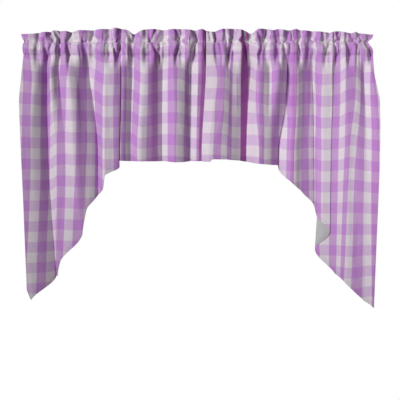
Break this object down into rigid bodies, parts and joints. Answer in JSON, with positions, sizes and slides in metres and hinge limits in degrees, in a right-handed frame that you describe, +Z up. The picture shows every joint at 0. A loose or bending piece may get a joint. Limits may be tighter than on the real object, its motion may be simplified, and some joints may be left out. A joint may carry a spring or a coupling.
{
  "type": "window valance",
  "caption": "Pair of gathered rod-pocket swag valances in checked cloth, with a ruffled heading, a short level middle and long slanting side tails.",
  "frame": {"origin": "middle of the top edge of the heading, in the plane of the rod pocket", "axes": "+Z up, -Y out of the window towards the room, +X to the right of someone facing it"},
  "size_m": [1.2458, 0.0654, 0.9797],
  "materials": {
    "gingham": "matte plain weave, lilac and white check, paler and plain on the back"
  },
  "bodies": {
    "root": {"heading_left": "gingham", "heading_right": "gingham", "swag_left": "gingham", "swag_right": "gingham"}
  },
  "joints": []
}
